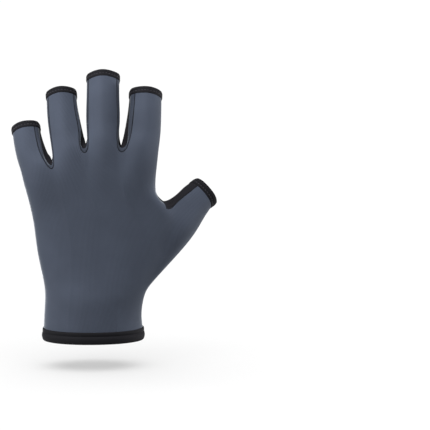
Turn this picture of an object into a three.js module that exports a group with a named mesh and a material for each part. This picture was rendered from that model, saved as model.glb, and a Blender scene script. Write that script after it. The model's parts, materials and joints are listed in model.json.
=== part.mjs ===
// A fingerless grip glove for the left hand, in the shape that a hand gives it.
// Millimetres. The origin is the middle of the wrist opening, +Z runs to the fingertips,
// +Y comes out of the palm and +X points to the thumb, so the back of the glove faces -Y.
//
// The glove is a cage of four-sided faces: eight-sided rings for the fingers and the thumb,
// and rows of twenty-six points for the hand. The cage is fitted so that the smooth surface
// passes through its points, smoothed once, and cut along the seams into panels of cloth.
// Each open end then gets a rounded hem, swept round its edge.

import * as THREE from "three";

const WALL = 1.4; // thickness of the cloth
const SEAM_GAP = 0.3; // between two panels, and between a panel and its hem

const FINGER_HEM = { height: 4.6, proud: 0.6, inside: 0.4, bevel: 0.8 };
const CUFF_HEM = { height: 8.4, proud: 1.0, inside: 0.6, bevel: 1.4 };

// A table with named columns: one object for each row.
const table = (columns, ...rows) =>
  rows.map((row) => Object.fromEntries(columns.map((column, i) => [column, row[i]])));

// The ends of the fingers, from the little finger to the index: the middle of the cloth's edge
// below the hem, and half of the width and of the depth there. In degrees, splay leans a finger
// to the thumb, curl bends it to the palm, twist turns its section so that more of the thumb's
// side shows from the back, and seam is where its back's seam stands above its side.
const FINGERS = table(
  ["name", "x", "y", "z", "half", "deep", "splay", "curl", "twist", "seam"],
  ["little_finger", -48.0, 15.5, 152.6, 10.1, 8.6, -10, 36, 14, 36],
  ["ring_finger", -22.0, 19.5, 176.6, 10.9, 9.8, -4, 38, 4, 33],
  ["middle_finger", 8.6, 20.5, 188.6, 11.7, 10.4, 1, 36, 5, 28],
  ["index_finger", 39.4, 17.0, 176.8, 11.7, 10.2, 4, 33, -11, 36],
);
// The roots of the fingers: the same sizes, with the depth to the back and to the palm apart.
// Under is how far up its side, in degrees, the palm's cloth reaches.
const KNUCKLES = table(
  ["x", "z", "half", "back", "palm", "splay", "twist", "under"],
  [-39.2, 125.0, 12.1, 11.2, 13.4, -22, 22, 18],
  [-15.1, 135.0, 13.2, 12.8, 15.0, -9, 15, 20],
  [8.4, 141.0, 12.3, 13.4, 15.4, 0, 5, 8],
  [34.4, 137.0, 14.3, 12.6, 14.6, 7, -20, 18],
);
const ROOT_CURL = 8;
const FINGER_RINGS = 3; // rings from the root to the hem
const PALM_ANGLE = 38; // from a finger's side to the cage's point on its palm

// The webs between the fingers. The seam on the back is lowest, the seam under it is a little
// higher, and the crest between the two palm points is highest and narrow.
const WEBS = table(
  ["x", "crestX", "width", "backZ", "midZ", "crestZ"],
  [-30.3, -29.2, 5.0, 131.6, 133.3, 136.2],
  [-5.7, -4.2, 5.2, 143.6, 145.0, 148.4],
  [21.9, 21.1, 6.4, 143.8, 144.6, 146.0],
);
const WEB_DEPTHS = { back: -10.0, mid: -6.0, crest: 4.0 };
const MID_NARROWING = 0.8;
const CREST_WIDTH = 1.6;
// The outer sides of the hand at the roots of the little and the index finger.
const [LITTLE_SIDE, INDEX_SIDE] = table(
  ["x", "y", "z", "back", "palm", "inset"],
  [-50.9, 1.0, 120.5, -6.5, 8.5, 2.4],
  [47.7, 0.5, 133.5, -7.5, 9.0, 2.6],
);

// The rows of the hand, from the knuckles to the edge above the cuff's hem. The left is the
// little finger's side, and rise lifts the thumb's side to the palm. Squareness is the power
// of the outline, where 2 is an ellipse.
const ROWS = table(
  ["leftX", "leftZ", "rightX", "rightZ", "y", "rise", "back", "palm", "squareness"],
  [-47.2, 106.0, 46.3, 113.5, 0.5, 1.5, 14.6, 15.6, 2.5],
  [-43.1, 87.0, 57.5, 98.4, 0.5, 2.5, 15.6, 18.0, 2.5],
  [-40.5, 66.0, 58.5, 74.0, 0.5, 2.5, 17.0, 20.5, 2.4],
  [-36.6, 46.0, 46.8, 46.0, 0.5, 1.0, 19.5, 21.5, 2.3],
  [-35.2, 33.0, 37.9, 33.0, 0.0, 0.0, 21.5, 22.0, 2.2],
  [-35.9, 20.0, 35.6, 20.0, 0.0, 0.0, 22.6, 22.6, 2.1],
  [-36.4, CUFF_HEM.height, 36.4, CUFF_HEM.height, 0.0, 0.0, 23.2, 23.2, 2.1],
);
// Where a row's columns stand across the hand, from the thumb's side to the little finger's:
// the near edge, the middle and the far edge of each finger.
const COLUMNS = [0.965, 0.865, 0.765, 0.725, 0.615, 0.51, 0.475, 0.37, 0.265, 0.235, 0.135, 0.035];

// The thumb grows out of the hand's side between two rows. The web is the point of that side
// where the hand's outline turns into the thumb's.
const THUMB_ROWS = [1, 3]; // its upper and its lower row
const THUMB_WEB = { x: 50.2, y: 2.0, z: 102.4 };
// Each ring has an inner point, towards the index finger, and an outer one. In degrees, lean
// tips the ring's palm back along the thumb, and strip is where the seam on its back stands,
// as seen from the inner point.
const THUMB = table(
  ["innerX", "innerZ", "outerX", "outerZ", "y", "deep", "lean", "strip"],
  [60.0, 104.5, 69.4, 69.7, 9.0, 15.0, 4, 37],
  [67.4, 110.3, 80.6, 85.6, 15.0, 12.4, 16, 44],
  [73.1, 113.7, 87.2, 94.8, 19.0, 11.2, 24, 47],
);
const THUMB_ANGLES = [0, 45, 90, 135, 180, 215, 255]; // from the inner point over the palm

const FIT_ROUNDS = 8; // times that the cage is moved until the smooth surface meets it
const DEEP_STEPS = 3; // smoothing steps that come close enough to the smooth surface

const BACK = "back_panel";
const PALM = "palm_panel";
const SIDE_STRIPS = ["side_strip_little_ring", "side_strip_ring_middle", "side_strip_middle_index"];

const GREY = new THREE.MeshStandardMaterial({ color: 0x4f5665, roughness: 0.78, metalness: 0 });
const BLACK = new THREE.MeshStandardMaterial({ color: 0x211f24, roughness: 0.82, metalness: 0 });
const HEM_BLACK = new THREE.MeshStandardMaterial({ color: 0x2b2a2f, roughness: 0.88, metalness: 0 });

const radians = THREE.MathUtils.degToRad;
const mix = THREE.MathUtils.lerp;
const at = (x, y, z) => new THREE.Vector3(x, y, z);

// The cage being built: points, and four-sided faces with the name of their panel.
const cage = { points: [], faces: [], panels: [] };

function addPoint(point) {
  cage.points.push(point);
  return cage.points.length - 1;
}

// A face's corners run anticlockwise as seen from outside the glove.
function addFace(corners, panel) {
  cage.faces.push(corners);
  cage.panels.push(panel);
}

// Joins two rings of the same number of points by a band of faces, one panel name per face.
function addBand(lower, upper, panelOf) {
  lower.forEach((corner, i) => {
    const next = (i + 1) % lower.length;
    addFace([corner, upper[i], upper[next], lower[next]], panelOf(i));
  });
}

// A ring of points at the given angles, which run from the width's way to the depth's way.
function ringPoints(centre, widthWay, depthWay, half, deep, angles) {
  return angles.map((angle) =>
    centre
      .clone()
      .addScaledVector(widthWay, half * Math.cos(radians(angle)))
      .addScaledVector(depthWay, deep * Math.sin(radians(angle))),
  );
}

// The roots of the fingers: three points on each side of each web and of the hand.
function webSide(web, sign) {
  const half = (sign * web.width) / 2;
  return {
    back: addPoint(at(web.x + half, WEB_DEPTHS.back, web.backZ)),
    mid: addPoint(at(web.x + half * MID_NARROWING, WEB_DEPTHS.mid, web.midZ)),
    palm: addPoint(at(web.crestX + (sign * CREST_WIDTH) / 2, WEB_DEPTHS.crest, web.crestZ)),
  };
}

function handSide(side, sign) {
  return {
    back: addPoint(at(side.x - sign * side.inset, side.back, side.z)),
    mid: addPoint(at(side.x, side.y, side.z)),
    palm: addPoint(at(side.x - sign * side.inset, side.palm, side.z)),
  };
}

const webs = WEBS.map((web) => ({ left: webSide(web, -1), right: webSide(web, 1) }));
const littleSide = handSide(LITTLE_SIDE, -1);
const indexSide = handSide(INDEX_SIDE, 1);

webs.forEach(({ left, right }, i) => {
  addFace([left.back, right.back, right.mid, left.mid], SIDE_STRIPS[i]);
  addFace([left.mid, right.mid, right.palm, left.palm], PALM);
});

// Which panel covers each of the eight sides of a finger, counted from the thumb's side. The
// outer sides of the hand have no strip: there the back runs on to the palm.
function fingerPanel(finger, side) {
  if (side > 3) return PALM;
  if (side === 0) return SIDE_STRIPS[finger] ?? BACK;
  if (side === 3) return SIDE_STRIPS[finger - 1] ?? BACK;
  return BACK;
}

// The ring at a finger's root, made of the points on both sides and two of its own.
function fingerRoot(i) {
  const left = i === 0 ? littleSide : webs[i - 1].right;
  const right = i === FINGERS.length - 1 ? indexSide : webs[i].left;
  const between = (place) => cage.points[left[place]].clone().lerp(cage.points[right[place]], 0.5);
  const back = addPoint(between("back").setY(-KNUCKLES[i].back));
  const palm = addPoint(between("palm").setY(KNUCKLES[i].palm));
  return [right.mid, right.back, back, left.back, left.mid, left.palm, palm, right.palm];
}

// The angles of a finger's points at a share t of its length. Where there is a strip, its
// lower seam starts higher up the side and runs down to the middle of the side at the hem.
function fingerAngles(i, t) {
  const { seam } = FINGERS[i];
  const twist = mix(KNUCKLES[i].twist, FINGERS[i].twist, t);
  const under = mix(KNUCKLES[i].under, 0, t);
  const angles = [
    SIDE_STRIPS[i] ? under : 0,
    seam,
    90,
    180 - seam,
    SIDE_STRIPS[i - 1] ? 180 - under : 180,
    180 + PALM_ANGLE,
    270,
    360 - PALM_ANGLE,
  ];
  return angles.map((angle) => angle + twist);
}

// A finger: rings along a curve from its root to the edge below its hem.
function addFinger(finger, i) {
  const knuckle = KNUCKLES[i];
  const root = fingerRoot(i);
  const start = at(knuckle.x, (knuckle.palm - knuckle.back) / 2, knuckle.z);
  const end = at(finger.x, finger.y, finger.z);
  const reach = start.distanceTo(end) / 3;
  const pointing = (splay, curl) =>
    at(Math.tan(radians(splay)), Math.tan(radians(curl)), 1).normalize();
  const curve = new THREE.CubicBezierCurve3(
    start,
    start.clone().addScaledVector(pointing(knuckle.splay, ROOT_CURL), reach),
    end.clone().addScaledVector(pointing(finger.splay, finger.curl), -reach),
    end,
  );
  let below = root;
  for (let ring = 1; ring <= FINGER_RINGS; ring++) {
    const t = ring / FINGER_RINGS;
    const along = curve.getTangent(t);
    const across = at(0, 1, 0).cross(along).normalize();
    const outOfBack = across.clone().cross(along);
    const half = mix(knuckle.half, finger.half, t);
    const deep = mix(knuckle.back, finger.deep, t);
    const points = ringPoints(curve.getPoint(t), across, outOfBack, half, deep, fingerAngles(i, t));
    const here = points.map(addPoint);
    addBand(below, here, (side) => fingerPanel(i, side));
    below = here;
  }
  return { root, edge: below };
}

const fingers = FINGERS.map(addFinger);

// The loop round all four roots, which the hand's rows continue: the thumb's side, the back
// from the index to the little finger, the little finger's side, and the palm.
function knuckleLoop() {
  const roots = fingers.map(({ root }) => root);
  const fromIndex = [...roots].reverse();
  return [
    indexSide.mid,
    ...fromIndex.flatMap((root) => [root[1], root[2], root[3]]),
    littleSide.mid,
    ...roots.flatMap((root) => [root[5], root[6], root[7]]),
  ];
}

// One row of the hand, from its thumb side round the back and the palm.
function rowPoints(row) {
  const point = (share, depth) =>
    at(
      mix(row.leftX, row.rightX, share),
      row.y + row.rise * share + depth,
      mix(row.leftZ, row.rightZ, share),
    );
  const bulge = (share) =>
    (1 - Math.abs(2 * share - 1) ** row.squareness) ** (1 / row.squareness);
  return [
    point(1, 0),
    ...COLUMNS.map((share) => point(share, -row.back * bulge(share))),
    point(0, 0),
    ...[...COLUMNS].reverse().map((share) => point(share, row.palm * bulge(share))),
  ];
}

const BACK_SIDES = COLUMNS.length + 1; // the faces of a row that lie on the back
const LAST = 2 * COLUMNS.length + 1; // the last point of a row, on the palm beside the thumb
const rowPanel = (side) => (side < BACK_SIDES ? BACK : PALM);

// The thumb's side of the row in its middle is open, so that row has no point there.
const inThumb = (row, place) => place === 0 && row > THUMB_ROWS[0] && row < THUMB_ROWS[1];
const rows = ROWS.map((row, r) =>
  rowPoints(row).map((point, place) => (inThumb(r, place) ? undefined : addPoint(point))),
);
cage.points[rows[THUMB_ROWS[0]][0]].copy(THUMB_WEB);

[knuckleLoop(), ...rows].forEach((upper, i, all) => {
  if (i === all.length - 1) return;
  const lower = all[i + 1];
  const besideThumb = i > THUMB_ROWS[0] && i <= THUMB_ROWS[1];
  lower.forEach((corner, side) => {
    const next = (side + 1) % lower.length;
    if (besideThumb && (side === 0 || side === LAST)) return;
    addFace([corner, upper[side], upper[next], lower[next]], rowPanel(side));
  });
});

// The thumb's root: the loop left open in the hand's side, from the web round the palm.
function thumbRoot() {
  const [top, middle, bottom] = [0, 1, 2].map((step) => rows[THUMB_ROWS[0] + step]);
  return [top[0], top[LAST], middle[LAST], bottom[LAST], bottom[0], bottom[1], middle[1], top[1]];
}

function thumbPanel(side) {
  return side >= 4 && side <= 6 ? BACK : PALM;
}

// A ring of the thumb. Its last point stands where the black inner side ends.
function thumbRing(ring) {
  const inner = at(ring.innerX, ring.y, ring.innerZ);
  const outer = at(ring.outerX, ring.y, ring.outerZ);
  const centre = inner.clone().lerp(outer, 0.5);
  const half = inner.distanceTo(outer) / 2;
  const across = inner.clone().sub(outer).normalize();
  const along = across.clone().cross(at(0, -1, 0));
  const outOfPalm = at(0, Math.cos(radians(ring.lean)), 0)
    .addScaledVector(along, -Math.sin(radians(ring.lean)));
  return ringPoints(centre, across, outOfPalm, half, ring.deep, [...THUMB_ANGLES, 360 - ring.strip]);
}

let thumbEdge = thumbRoot();
for (const ring of THUMB) {
  const here = thumbRing(ring).map(addPoint);
  addBand(thumbEdge, here, thumbPanel);
  thumbEdge = here;
}

// One step of Catmull and Clark's smoothing. Open edges keep a smooth curve of their own,
// and each point of the cage keeps its place in the list.
function smoothed({ points, faces, panels }) {
  const centres = faces.map((face) =>
    face.reduce((sum, corner) => sum.add(points[corner]), at(0, 0, 0)).divideScalar(4),
  );
  const edges = new Map();
  const around = points.map(() => ({ faces: [], edges: [] }));
  faces.forEach((face, f) =>
    face.forEach((corner, k) => {
      const next = face[(k + 1) % 4];
      const key = Math.min(corner, next) * points.length + Math.max(corner, next);
      if (!edges.has(key)) {
        const edge = { ends: [corner, next], faces: [] };
        edges.set(key, edge);
        around[corner].edges.push(edge);
        around[next].edges.push(edge);
      }
      edges.get(key).faces.push(f);
      around[corner].faces.push(f);
    }),
  );
  const made = points.map((point, i) => {
    const { faces: near, edges: spokes } = around[i];
    const rim = spokes.filter((edge) => edge.faces.length === 1);
    const far = (edge) => points[edge.ends[0] === i ? edge.ends[1] : edge.ends[0]];
    const n = near.length;
    const moved = point.clone().multiplyScalar(rim.length ? 3 / 4 : (n - 2) / n);
    if (rim.length) {
      rim.forEach((edge) => moved.addScaledVector(far(edge), 1 / 8));
      return moved;
    }
    near.forEach((f) => moved.addScaledVector(centres[f], 1 / (n * n)));
    spokes.forEach((edge) => moved.addScaledVector(far(edge), 1 / (n * n)));
    return moved;
  });
  for (const edge of edges.values()) {
    const middle = points[edge.ends[0]].clone().add(points[edge.ends[1]]);
    edge.index = made.length;
    if (edge.faces.length === 1) made.push(middle.divideScalar(2));
    else made.push(edge.faces.reduce((sum, f) => sum.add(centres[f]), middle).divideScalar(4));
  }
  const edgeBetween = (a, b) => edges.get(Math.min(a, b) * points.length + Math.max(a, b)).index;
  const finer = { points: made, faces: [], panels: [] };
  faces.forEach((face, f) => {
    made.push(centres[f]);
    face.forEach((corner, k) => {
      const next = edgeBetween(corner, face[(k + 1) % 4]);
      const before = edgeBetween(face[(k + 3) % 4], corner);
      finer.faces.push([corner, next, made.length - 1, before]);
      finer.panels.push(panels[f]);
    });
  });
  return finer;
}

// Where the smooth surface has each point of a mesh, after enough steps.
function settled(mesh) {
  let fine = mesh;
  for (let step = 0; step < DEEP_STEPS; step++) fine = smoothed(fine);
  return fine.points.slice(0, mesh.points.length);
}

// Moves the cage until the smooth surface passes through the places its points had.
function fitted(mesh) {
  const targets = mesh.points.map((point) => point.clone());
  for (let round = 0; round < FIT_ROUNDS; round++) {
    settled(mesh).forEach((reached, i) => mesh.points[i].add(targets[i]).sub(reached));
  }
  return mesh;
}

const skin = smoothed(fitted(cage));
skin.points = settled(skin);

// The outward direction at each point of the skin.
const outward = skin.points.map(() => at(0, 0, 0));
skin.faces.forEach((face) => {
  const [a, b, c, d] = face.map((corner) => skin.points[corner]);
  const normal = c.clone().sub(a).cross(d.clone().sub(b));
  face.forEach((corner) => outward[corner].add(normal));
});
outward.forEach((normal) => normal.normalize());

// The open edges of a set of faces, each as the two corners that its face runs through.
function rimOf(faces) {
  const rim = new Map();
  faces.forEach((face) =>
    face.forEach((corner, k) => {
      const next = face[(k + 1) % 4];
      if (rim.delete(`${next} ${corner}`)) return;
      rim.set(`${corner} ${next}`, [corner, next]);
    }),
  );
  return [...rim.values()];
}

function solidFrom(points, triangles) {
  const geometry = new THREE.BufferGeometry();
  const numbers = points.flatMap((point) => point.toArray());
  geometry.setAttribute("position", new THREE.Float32BufferAttribute(numbers, 3));
  geometry.setIndex(triangles);
  geometry.computeVertexNormals();
  return geometry;
}

// A panel of cloth: its faces, the same faces one wall deeper, and a wall along its edge.
// The edge stands half a seam's gap back from the neighbour's, and a whole gap back inside.
function panelGeometry(name) {
  const faces = skin.faces.filter((_, f) => skin.panels[f] === name);
  const rim = rimOf(faces);
  const corners = [...new Set(faces.flat())];
  const order = new Map(corners.map((corner, i) => [corner, i]));
  const setback = corners.map(() => at(0, 0, 0));
  rim.forEach(([from, to]) => {
    const along = skin.points[to].clone().sub(skin.points[from]).normalize();
    [from, to].forEach((corner) => {
      const inward = outward[corner].clone().cross(along);
      setback[order.get(corner)].addScaledVector(inward, SEAM_GAP / 4);
    });
  });
  const outer = corners.map((corner, i) => skin.points[corner].clone().add(setback[i]));
  const inner = corners.map((corner, i) =>
    outer[i].clone().add(setback[i]).addScaledVector(outward[corner], -WALL),
  );
  const deeper = corners.length;
  const triangles = [];
  faces.forEach((face) => {
    const [a, b, c, d] = face.map((corner) => order.get(corner));
    triangles.push(a, b, c, a, c, d);
    triangles.push(a + deeper, c + deeper, b + deeper, a + deeper, d + deeper, c + deeper);
  });
  rim.forEach((edge) => {
    const [from, to] = edge.map((corner) => order.get(corner));
    triangles.push(to, from, from + deeper, to, from + deeper, to + deeper);
  });
  return solidFrom([...outer, ...inner], triangles);
}

// The skin's open edges as closed loops, each run so that the cloth lies on its left.
function openLoops() {
  const next = new Map(rimOf(skin.faces));
  const loops = [];
  while (next.size) {
    const loop = [next.keys().next().value];
    for (let corner = next.get(loop[0]); corner !== loop[0]; corner = next.get(corner)) loop.push(corner);
    loop.forEach((corner) => next.delete(corner));
    loops.push(loop);
  }
  return loops;
}

// A hem's profile as pairs: out from the cloth's face, and on past the cloth's edge.
function hemProfile({ height, proud, inside, bevel }) {
  const deep = -WALL - inside;
  return [
    [deep, SEAM_GAP],
    [proud - bevel / 2, SEAM_GAP],
    [proud, SEAM_GAP + bevel / 2],
    [proud, height - 1.5 * bevel],
    [proud - bevel / 2, height - bevel / 2],
    [-WALL / 2, height],
    [deep + bevel / 2, height - bevel / 2],
    [deep, height - 1.5 * bevel],
  ];
}

// A hem: its profile carried round an open edge of the skin.
function hemGeometry(loop, hem) {
  const profile = hemProfile(hem);
  const positions = [];
  loop.forEach((corner, i) => {
    const before = skin.points[loop[(i + loop.length - 1) % loop.length]];
    const after = skin.points[loop[(i + 1) % loop.length]];
    const along = after.clone().sub(before).normalize();
    const on = along.clone().cross(outward[corner]).normalize();
    const out = on.clone().cross(along);
    profile.forEach(([side, past]) =>
      positions.push(skin.points[corner].clone().addScaledVector(out, side).addScaledVector(on, past)),
    );
  });
  const n = profile.length;
  const triangles = [];
  loop.forEach((_, i) => {
    const here = i * n;
    const there = ((i + 1) % loop.length) * n;
    for (let k = 0; k < n; k++) {
      const next = (k + 1) % n;
      triangles.push(here + k, there + next, there + k, here + k, here + next, there + next);
    }
  });
  return solidFrom(positions, triangles);
}

const glove = new THREE.Group();

function addPiece(name, geometry, material) {
  const mesh = new THREE.Mesh(geometry, material);
  mesh.name = name;
  glove.add(mesh);
}

addPiece(BACK, panelGeometry(BACK), GREY);
addPiece(PALM, panelGeometry(PALM), BLACK);
SIDE_STRIPS.forEach((strip) => addPiece(strip, panelGeometry(strip), GREY));

const loops = openLoops();
const loopThrough = (corner) => loops.find((loop) => loop.includes(corner));
FINGERS.forEach((finger, i) => {
  addPiece(`${finger.name}_hem`, hemGeometry(loopThrough(fingers[i].edge[0]), FINGER_HEM), HEM_BLACK);
});
addPiece("thumb_hem", hemGeometry(loopThrough(thumbEdge[0]), FINGER_HEM), HEM_BLACK);
addPiece("cuff_hem", hemGeometry(loopThrough(rows.at(-1)[0]), CUFF_HEM), HEM_BLACK);

export default glove;
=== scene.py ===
# %% [markdown]
# A fingerless grip glove for the left hand, shown in the shape that a hand gives it. The back
# and the narrow strips between the fingers are grey stretch cloth, the palm is black cloth with
# a raised blue grip print, and every opening has a black ribbed hem.
#
# The order is the maker's: first the sewn skin as one surface, then its panels cut out along
# their seams, then the hems, the stitches and the print, and last the finishes, light and view.
# The imported model is loaded first, because every piece here rides on its one body.

# %% Load the imported model
import json
import math

import bmesh
import bpy
from mathutils import Matrix, Vector

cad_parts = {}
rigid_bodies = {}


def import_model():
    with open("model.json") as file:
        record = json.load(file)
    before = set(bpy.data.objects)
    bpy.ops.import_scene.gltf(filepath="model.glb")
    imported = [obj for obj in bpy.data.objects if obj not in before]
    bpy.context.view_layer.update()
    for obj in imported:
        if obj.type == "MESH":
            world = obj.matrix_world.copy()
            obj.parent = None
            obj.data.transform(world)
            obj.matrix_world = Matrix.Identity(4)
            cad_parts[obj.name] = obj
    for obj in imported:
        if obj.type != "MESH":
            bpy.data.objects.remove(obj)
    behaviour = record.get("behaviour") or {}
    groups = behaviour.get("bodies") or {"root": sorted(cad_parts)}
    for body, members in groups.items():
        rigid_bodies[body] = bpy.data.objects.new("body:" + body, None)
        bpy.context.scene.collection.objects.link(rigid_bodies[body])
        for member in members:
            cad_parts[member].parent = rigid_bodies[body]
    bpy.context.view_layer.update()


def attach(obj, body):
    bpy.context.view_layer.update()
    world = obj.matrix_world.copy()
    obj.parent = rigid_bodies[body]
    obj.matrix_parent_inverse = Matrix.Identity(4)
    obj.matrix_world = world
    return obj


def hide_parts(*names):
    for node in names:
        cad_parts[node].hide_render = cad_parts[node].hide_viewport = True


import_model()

MM = 0.001

# %% [markdown]
# An operator works on all that is selected, and loading leaves the CAD solids selected. So every
# step first puts everything down and then picks up the one piece that it works on.

# %% Picking pieces up and putting them down
def put_down():
    if bpy.context.mode != "OBJECT":
        bpy.ops.object.mode_set(mode="OBJECT")
    bpy.ops.object.select_all(action="DESELECT")


def pick_up(piece, editing=None):
    put_down()
    piece.select_set(True)
    bpy.context.view_layer.objects.active = piece
    if editing:
        bpy.ops.object.mode_set(mode="EDIT")
        bpy.ops.mesh.select_mode(type=editing)
        bpy.ops.mesh.select_all(action="DESELECT")


def apply_modifier(piece, kind, **settings):
    pick_up(piece)
    modifier = piece.modifiers.new(kind.title(), kind)
    for key, value in settings.items():
        setattr(modifier, key, value)
    bpy.ops.object.modifier_apply(modifier=modifier.name)


def count(piece):
    return f"{piece.name}: {len(piece.data.vertices)} points, {len(piece.data.polygons)} faces"


put_down()
print("Selected:", len(bpy.context.selected_objects))

# %% [markdown]
# The hand has five tubes that grow out of one bag, and the real glove is sewn from flat cloth
# that a hand fills out. It could be sculpted, or draped over a hand by simulation, but then its
# seams would lie anywhere. A low cage of four-sided faces is better here: rings for the fingers
# and rows for the hand, with the seams on its edges, which a subdivision surface rounds off.
#
# These tables hold the cage's sizes in millimetres and degrees, from the little finger to the
# index finger. The wrist opening is at the origin, the fingertips point to +Z, the palm faces +Y
# and the thumb points to +X.

# %% Sizes of the hand
def table(columns, *rows):
    return [dict(zip(columns.split(), row)) for row in rows]


# The ends of the fingers at the edge below the hem.
FINGER_ENDS = table(
    "x y z half deep splay curl twist seam",
    (-48.0, 15.5, 152.6, 10.1, 8.6, -10, 36, 14, 36),
    (-22.0, 19.5, 176.6, 10.9, 9.8, -4, 38, 4, 33),
    (8.6, 20.5, 188.6, 11.7, 10.4, 1, 36, 5, 28),
    (39.4, 17.0, 176.8, 11.7, 10.2, 4, 33, -11, 36),
)
# The roots of the fingers.
KNUCKLES = table(
    "x z half back palm splay twist under",
    (-39.2, 125.0, 12.1, 11.2, 13.4, -22, 22, 25),
    (-15.1, 135.0, 13.2, 12.8, 15.0, -9, 15, 26),
    (8.4, 141.0, 12.3, 13.4, 15.4, 0, 5, 10),
    (34.4, 137.0, 14.3, 12.6, 14.6, 7, -20, 25),
)
# The webs between the fingers, from the seam on the back to the crest between them.
WEBS = table(
    "x crest_x width back_z mid_z crest_z",
    (-30.3, -29.2, 5.0, 130.8, 132.2, 134.0),
    (-5.7, -4.2, 5.2, 142.6, 143.6, 145.4),
    (21.9, 21.1, 6.4, 143.0, 143.6, 144.4),
)
# All three have the same depths. Half of a web's width is this share of it in the middle, and
# this many millimetres at the crest.
WEB_DEPTHS = {"back": -11.0, "mid": -6.0, "palm": 4.0}
WEB_MID_SHARE = 0.4
WEB_CREST_HALF = 0.8
# The outer sides of the hand at the little and the index finger.
LITTLE_SIDE, INDEX_SIDE = table(
    "x y z back palm inset",
    (-50.9, 1.0, 120.5, -6.5, 8.5, 2.4),
    (47.7, 0.5, 133.5, -7.5, 9.0, 2.6),
)
# The rows of the hand, from below the knuckles to the edge above the cuff's hem.
ROWS = table(
    "left_x left_z right_x right_z y rise back palm power",
    (-47.2, 106.0, 46.3, 113.5, 0.5, 1.5, 14.6, 15.6, 2.5),
    (-43.1, 87.0, 57.5, 98.4, 0.5, 2.5, 15.6, 18.0, 2.5),
    (-40.5, 66.0, 58.5, 74.0, 0.5, 2.5, 17.0, 20.5, 2.4),
    (-36.6, 46.0, 46.8, 46.0, 0.5, 1.0, 19.5, 21.5, 2.3),
    (-35.2, 33.0, 37.9, 33.0, 0.0, 0.0, 21.5, 22.0, 2.2),
    (-35.9, 20.0, 35.6, 20.0, 0.0, 0.0, 22.6, 22.6, 2.1),
    (-36.4, 8.4, 36.4, 8.4, 0.0, 0.0, 23.2, 23.2, 2.1),
)
# Soft hills on the back, by row and by column from the thumb's side. They fill the hollows below
# the knuckles and beside the thumb's root.
HILLS = {
    (0, 0): 3.0, (0, 1): 2.2, (0, 2): 1.4, (0, 3): 0.8, (0, 10): 0.7, (0, 11): 1.4,
    (1, 0): 2.4, (1, 1): 0.8, (2, 0): 2.2, (2, 1): 0.4,
}
# The rings of the thumb, each from its inner to its outer point.
THUMB = table(
    "inner_x inner_z outer_x outer_z y deep lean strip",
    (60.0, 104.5, 69.4, 69.7, 9.0, 15.0, 4, 37),
    (67.4, 110.3, 80.6, 85.6, 15.0, 12.4, 16, 44),
    (73.1, 113.7, 87.2, 94.8, 19.0, 11.2, 24, 47),
)
THUMB_WEB = (50.2, 2.0, 102.4)
# The middles of the two other openings, at the edge below the hem.
THUMB_END = (80.0, 19.0, 104.0)
CUFF_END = (0, 0, 8.4)
# Where the columns of a row stand, as shares of its width from the little finger's side.
COLUMNS = (0.965, 0.865, 0.765, 0.725, 0.615, 0.51, 0.475, 0.37, 0.265, 0.235, 0.135, 0.035)
print(len(FINGER_ENDS), "fingers,", len(ROWS), "rows and", len(THUMB), "rings of the thumb")

# %% [markdown]
# The cage starts as one circle at the wrist. Its points are dragged to the wrist's outline, the
# ring is extruded, and the new ring is dragged to the next row, up to the knuckles. A helper
# extrudes a closed ring of edges and says which point grew out of which. Another drags points to
# their places. Each face is noted with the panel of cloth that it belongs to.

# %% Extruding and dragging rings
panel_of = {}


def edit_mesh(piece):
    mesh = bmesh.from_edit_mesh(piece.data)
    mesh.verts.ensure_lookup_table()
    return mesh


def select_edges(piece, pairs):
    bpy.ops.mesh.select_all(action="DESELECT")
    mesh = edit_mesh(piece)
    for a, b in pairs:
        mesh.edges.get((mesh.verts[a], mesh.verts[b])).select_set(True)
    bmesh.update_edit_mesh(piece.data)


def pairs_of(ring):
    return list(zip(ring, ring[1:] + ring[:1]))


def drag(piece, ring, places):
    for corner, place in zip(ring, places):
        bpy.ops.mesh.select_all(action="DESELECT")
        vert = edit_mesh(piece).verts[corner]
        vert.select_set(True)
        bpy.ops.transform.translate(value=place * MM - vert.co)


def extrude_ring(piece, ring, places, panel):
    select_edges(piece, pairs_of(ring))
    bpy.ops.mesh.extrude_edges_move()
    mesh = edit_mesh(piece)
    mesh.verts.index_update()
    grown = {}
    for corner in ring:
        vert = mesh.verts[corner]
        others = [edge.other_vert(vert) for edge in vert.link_edges]
        grown[corner] = next(other.index for other in others if other.select)
    above = [grown[corner] for corner in ring]
    for side, ((a, b), (c, d)) in enumerate(zip(pairs_of(ring), pairs_of(above))):
        panel_of[frozenset((a, b, c, d))] = panel(side)
    drag(piece, above, places)
    return above


# %% [markdown]
# A row is a squared ellipse, deeper on the palm than on the back. Its columns stand under the
# edges and middles of the fingers, so that they can run on into the finger tubes.

# %% The hand's rows
def mix(a, b, share):
    return a + (b - a) * share


def row_places(row):
    def place(share, depth):
        x, z = (mix(row[f"left_{k}"], row[f"right_{k}"], share) for k in "xz")
        return Vector((x, row["y"] + row["rise"] * share + depth, z))

    def bulge(share):
        return (1 - abs(2 * share - 1) ** row["power"]) ** (1 / row["power"])

    def hill(column):
        return HILLS.get((ROWS.index(row), column), 0)

    back = [place(share, -row["back"] * bulge(share) - hill(k)) for k, share in enumerate(COLUMNS)]
    palm = [place(share, row["palm"] * bulge(share)) for share in reversed(COLUMNS)]
    return [place(1, 0), *back, place(0, 0), *palm]


def row_panel(side):
    return "back" if side <= len(COLUMNS) else "palm"


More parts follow.
